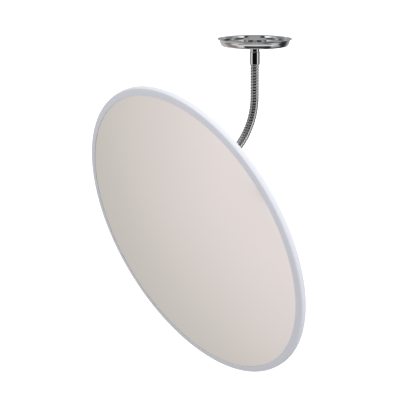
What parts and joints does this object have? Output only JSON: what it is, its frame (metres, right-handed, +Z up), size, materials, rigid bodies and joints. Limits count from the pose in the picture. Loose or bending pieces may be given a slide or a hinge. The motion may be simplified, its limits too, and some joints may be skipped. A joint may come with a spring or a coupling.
{
  "type": "convex security mirror",
  "caption": "Round convex mirror with a white edge trim, hung from a round ceiling rose on a flexible chrome gooseneck.",
  "frame": {"origin": "centre of the ceiling face, on the axis of the gooseneck's straight upper end", "axes": "+Z up into the ceiling, mirror faces -Y and looks 20 degrees down, +X to the mirror's own left as it faces the shop"},
  "size_m": [0.4, 0.2156, 0.4274],
  "materials": {
    "chrome_plate": "bright chrome plate, fine polishing marks",
    "zinc_steel": "zinc-plated steel",
    "silvered_acrylic": "silvered behind clear acrylic, smooth and glossy",
    "white_trim": "cool white extruded plastic, satin",
    "back_plastic": "white moulded plastic, fine grain"
  },
  "bodies": {
    "ceiling_mount": {"ceiling_rose": "chrome_plate", "rose_clamp_hub": "chrome_plate", "hub_lock_washer": "zinc_steel", "rose_washer": "chrome_plate", "upper_stud": "zinc_steel", "upper_ferrule": "chrome_plate", "gooseneck_upper_end": "chrome_plate"},
    "neck_01": {"gooseneck_link_01": "chrome_plate"},
    "neck_02": {"gooseneck_link_02": "chrome_plate"},
    "neck_03": {"gooseneck_link_03": "chrome_plate"},
    "neck_04": {"gooseneck_link_04": "chrome_plate"},
    "neck_05": {"gooseneck_link_05": "chrome_plate"},
    "neck_06": {"gooseneck_link_06": "chrome_plate"},
    "neck_07": {"gooseneck_link_07": "chrome_plate"},
    "neck_08": {"gooseneck_link_08": "chrome_plate"},
    "neck_09": {"gooseneck_link_09": "chrome_plate"},
    "neck_10": {"gooseneck_link_10": "chrome_plate"},
    "neck_11": {"gooseneck_link_11": "chrome_plate"},
    "mirror_head": {"gooseneck_lower_end": "chrome_plate", "lower_ferrule": "chrome_plate", "boss_washer": "chrome_plate", "gooseneck_boss": "chrome_plate", "boss_screw_1": "zinc_steel", "boss_screw_2": "zinc_steel", "boss_screw_3": "zinc_steel", "boss_nut_1": "zinc_steel", "boss_nut_2": "zinc_steel", "boss_nut_3": "zinc_steel", "reinforcing_plate": "zinc_steel", "stud_washer": "zinc_steel", "stud_nut": "zinc_steel", "lower_stud": "zinc_steel", "back_plate": "back_plastic", "mirror_dome": "silvered_acrylic", "edge_trim": "white_trim"}
  },
  "joints": [
    {"name": "upper_bend_fore", "type": "hinge", "parent": "ceiling_mount", "child": "neck_01", "pos_m": [0, 0, -0.03997], "axis": [1, 0, 0], "range_deg": [-3, 11.5], "stiffness_Nm_per_rad": 3, "springref_deg": -22.57},
    {"name": "upper_bend_side", "type": "hinge", "parent": "neck_01", "child": "neck_02", "pos_m": [0, 0, -0.05331], "axis": [0, 1, 0], "range_deg": [-7, 7], "stiffness_Nm_per_rad": 0.5},
    {"name": "upper_bend_fore_2", "type": "hinge", "parent": "neck_02", "child": "neck_03", "pos_m": [0, 0, -0.06665], "axis": [1, 0, 0], "range_deg": [-3, 11.5], "stiffness_Nm_per_rad": 3, "springref_deg": -22.57},
    {"name": "upper_bend_side_2", "type": "hinge", "parent": "neck_03", "child": "neck_04", "pos_m": [0, -0.00019, -0.07998], "axis": [0, 0.9978, -0.0661], "range_deg": [-7, 7], "stiffness_Nm_per_rad": 0.5},
    {"name": "upper_bend_fore_3", "type": "hinge", "parent": "neck_04", "child": "neck_05", "pos_m": [0, -0.0021, -0.09317], "axis": [1, 0, 0], "range_deg": [-3, 11.5], "stiffness_Nm_per_rad": 3, "springref_deg": -22.11},
    {"name": "upper_bend_side_3", "type": "hinge", "parent": "neck_05", "child": "neck_06", "pos_m": [0, -0.00602, -0.10591], "axis": [0, 0.93, -0.3675], "range_deg": [-7, 7], "stiffness_Nm_per_rad": 0.5},
    {"name": "lower_bend_fore", "type": "hinge", "parent": "neck_06", "child": "neck_07", "pos_m": [0, -0.01186, -0.11788], "axis": [1, 0, 0], "range_deg": [-3, 11.5], "stiffness_Nm_per_rad": 3, "springref_deg": -19.99},
    {"name": "lower_bend_side", "type": "hinge", "parent": "neck_07", "child": "neck_08", "pos_m": [0, -0.01948, -0.12881], "axis": [0, 0.7734, -0.6339], "range_deg": [-7, 7], "stiffness_Nm_per_rad": 0.5},
    {"name": "lower_bend_fore_2", "type": "hinge", "parent": "neck_08", "child": "neck_09", "pos_m": [0, -0.0287, -0.13843], "axis": [1, 0, 0], "range_deg": [-3, 11.5], "stiffness_Nm_per_rad": 3, "springref_deg": -16.38},
    {"name": "lower_bend_side_2", "type": "hinge", "parent": "neck_09", "child": "neck_10", "pos_m": [0, -0.0393, -0.14652], "axis": [0, 0.543, -0.8397], "range_deg": [-7, 7], "stiffness_Nm_per_rad": 0.5},
    {"name": "lower_bend_fore_3", "type": "hinge", "parent": "neck_10", "child": "neck_11", "pos_m": [0, -0.05102, -0.15286], "axis": [1, 0, 0], "range_deg": [-3, 11.5], "stiffness_Nm_per_rad": 3, "springref_deg": -11.66},
    {"name": "lower_bend_side_3", "type": "hinge", "parent": "neck_11", "child": "mirror_head", "pos_m": [0, -0.06348, -0.15762], "axis": [0, 0.342, -0.9397], "range_deg": [-7, 7], "stiffness_Nm_per_rad": 0.5}
  ],
  "couplings": [
    {"joint": "upper_bend_fore_2", "follows": "upper_bend_fore", "ratio": 1},
    {"joint": "upper_bend_side_2", "follows": "upper_bend_side", "ratio": 1},
    {"joint": "upper_bend_fore_3", "follows": "upper_bend_fore", "ratio": 1},
    {"joint": "upper_bend_side_3", "follows": "upper_bend_side", "ratio": 1},
    {"joint": "lower_bend_fore_2", "follows": "lower_bend_fore", "ratio": 1},
    {"joint": "lower_bend_side_2", "follows": "lower_bend_side", "ratio": 1},
    {"joint": "lower_bend_fore_3", "follows": "lower_bend_fore", "ratio": 1},
    {"joint": "lower_bend_side_3", "follows": "lower_bend_side", "ratio": 1}
  ]
}
